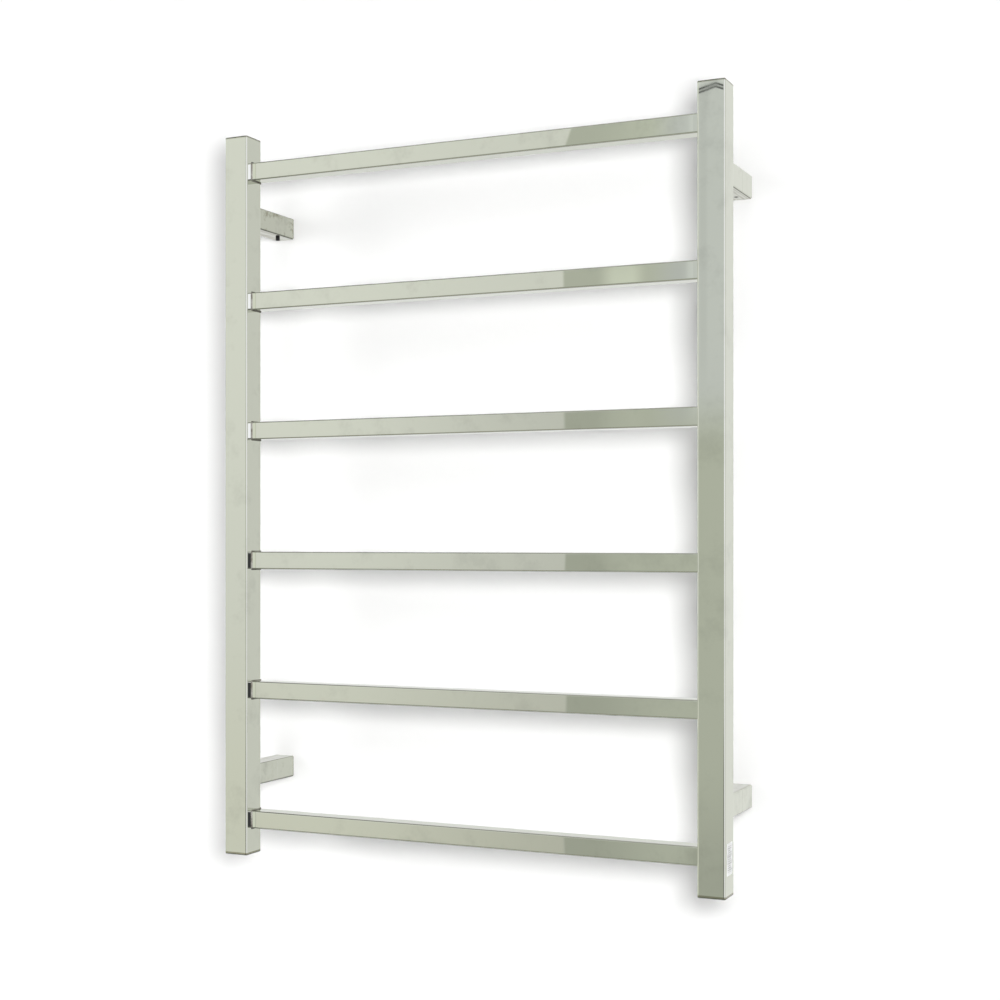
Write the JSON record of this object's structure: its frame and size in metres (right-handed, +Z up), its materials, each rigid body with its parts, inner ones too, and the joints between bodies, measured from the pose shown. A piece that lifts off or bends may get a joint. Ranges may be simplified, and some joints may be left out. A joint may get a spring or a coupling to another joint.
{
  "type": "heated towel rack",
  "caption": "Wall-hung electric ladder towel warmer of polished square tube: square crossbars between two uprights on short square brackets with grub screws.",
  "frame": {"origin": "on the wall plane, midway between the four wall screw holes", "axes": "+X to the right of someone facing the rack, +Y into the wall, +Z up"},
  "size_m": [0.6002, 0.107, 0.83],
  "materials": {
    "polished_steel": "mirror polished stainless steel",
    "mill_steel": "mill finish stainless steel",
    "black_steel": "black oxide",
    "red_silicone": "matt silicone",
    "black_sleeve": "shrunk sleeve",
    "cutout_ceramic": "unglazed ceramic",
    "block_ceramic": "glazed ceramic",
    "terminal_brass": "plain brass",
    "tinned_copper": "tinned",
    "earth_sheath": "silicone",
    "bush_rubber": "soft rubber",
    "label_film": "satin film"
  },
  "bodies": {
    "wall_mounts": {"wall_boss_upper_left": "polished_steel", "wall_boss_upper_right": "polished_steel", "wall_boss_lower_left": "polished_steel", "wall_boss_lower_right": "polished_steel", "cable_bush": "bush_rubber"},
    "rack": {"left_upright": "polished_steel", "right_upright": "polished_steel", "left_top_cap": "polished_steel", "left_bottom_cap": "polished_steel", "right_top_cap": "polished_steel", "right_bottom_cap": "polished_steel", "crossbar_1": "polished_steel", "crossbar_2": "polished_steel", "crossbar_3": "polished_steel", "crossbar_4": "polished_steel", "crossbar_5": "polished_steel", "crossbar_6": "polished_steel", "bracket_arm_upper_left": "polished_steel", "bracket_arm_upper_right": "polished_steel", "bracket_arm_lower_left": "polished_steel", "bracket_arm_lower_right": "polished_steel", "spigot_upper_left": "mill_steel", "spigot_upper_right": "mill_steel", "spigot_lower_left": "mill_steel", "spigot_lower_right": "mill_steel", "heating_cable": "red_silicone", "cable_end_seal": "black_sleeve", "cold_tail_splice": "black_sleeve", "thermal_cutout": "cutout_ceramic", "terminal_block": "block_ceramic", "terminal_screws": "terminal_brass", "earth_stud": "mill_steel", "earth_lug": "tinned_copper", "earth_nut": "mill_steel", "earth_lead": "earth_sheath", "rating_label": "label_film"},
    "grub_upper_left": {"grub_screw_upper_left": "black_steel"},
    "grub_upper_right": {"grub_screw_upper_right": "black_steel"},
    "grub_lower_left": {"grub_screw_lower_left": "black_steel"},
    "grub_lower_right": {"grub_screw_lower_right": "black_steel"}
  },
  "joints": [
    {"name": "rack_slide", "type": "slide", "parent": "wall_mounts", "child": "rack", "axis": [0, -1, 0], "range_m": [0, 0.03]},
    {"name": "grub_upper_left_travel", "type": "slide", "parent": "wall_mounts", "child": "grub_upper_left", "axis": [0, 0, 1], "range_m": [0, 0.003]},
    {"name": "grub_upper_right_travel", "type": "slide", "parent": "wall_mounts", "child": "grub_upper_right", "axis": [0, 0, 1], "range_m": [-0.003, 0]},
    {"name": "grub_lower_left_travel", "type": "slide", "parent": "wall_mounts", "child": "grub_lower_left", "axis": [0, 0, 1], "range_m": [-0.003, 0]},
    {"name": "grub_lower_right_travel", "type": "slide", "parent": "wall_mounts", "child": "grub_lower_right", "axis": [0, 0, 1], "range_m": [-0.003, 0]}
  ]
}
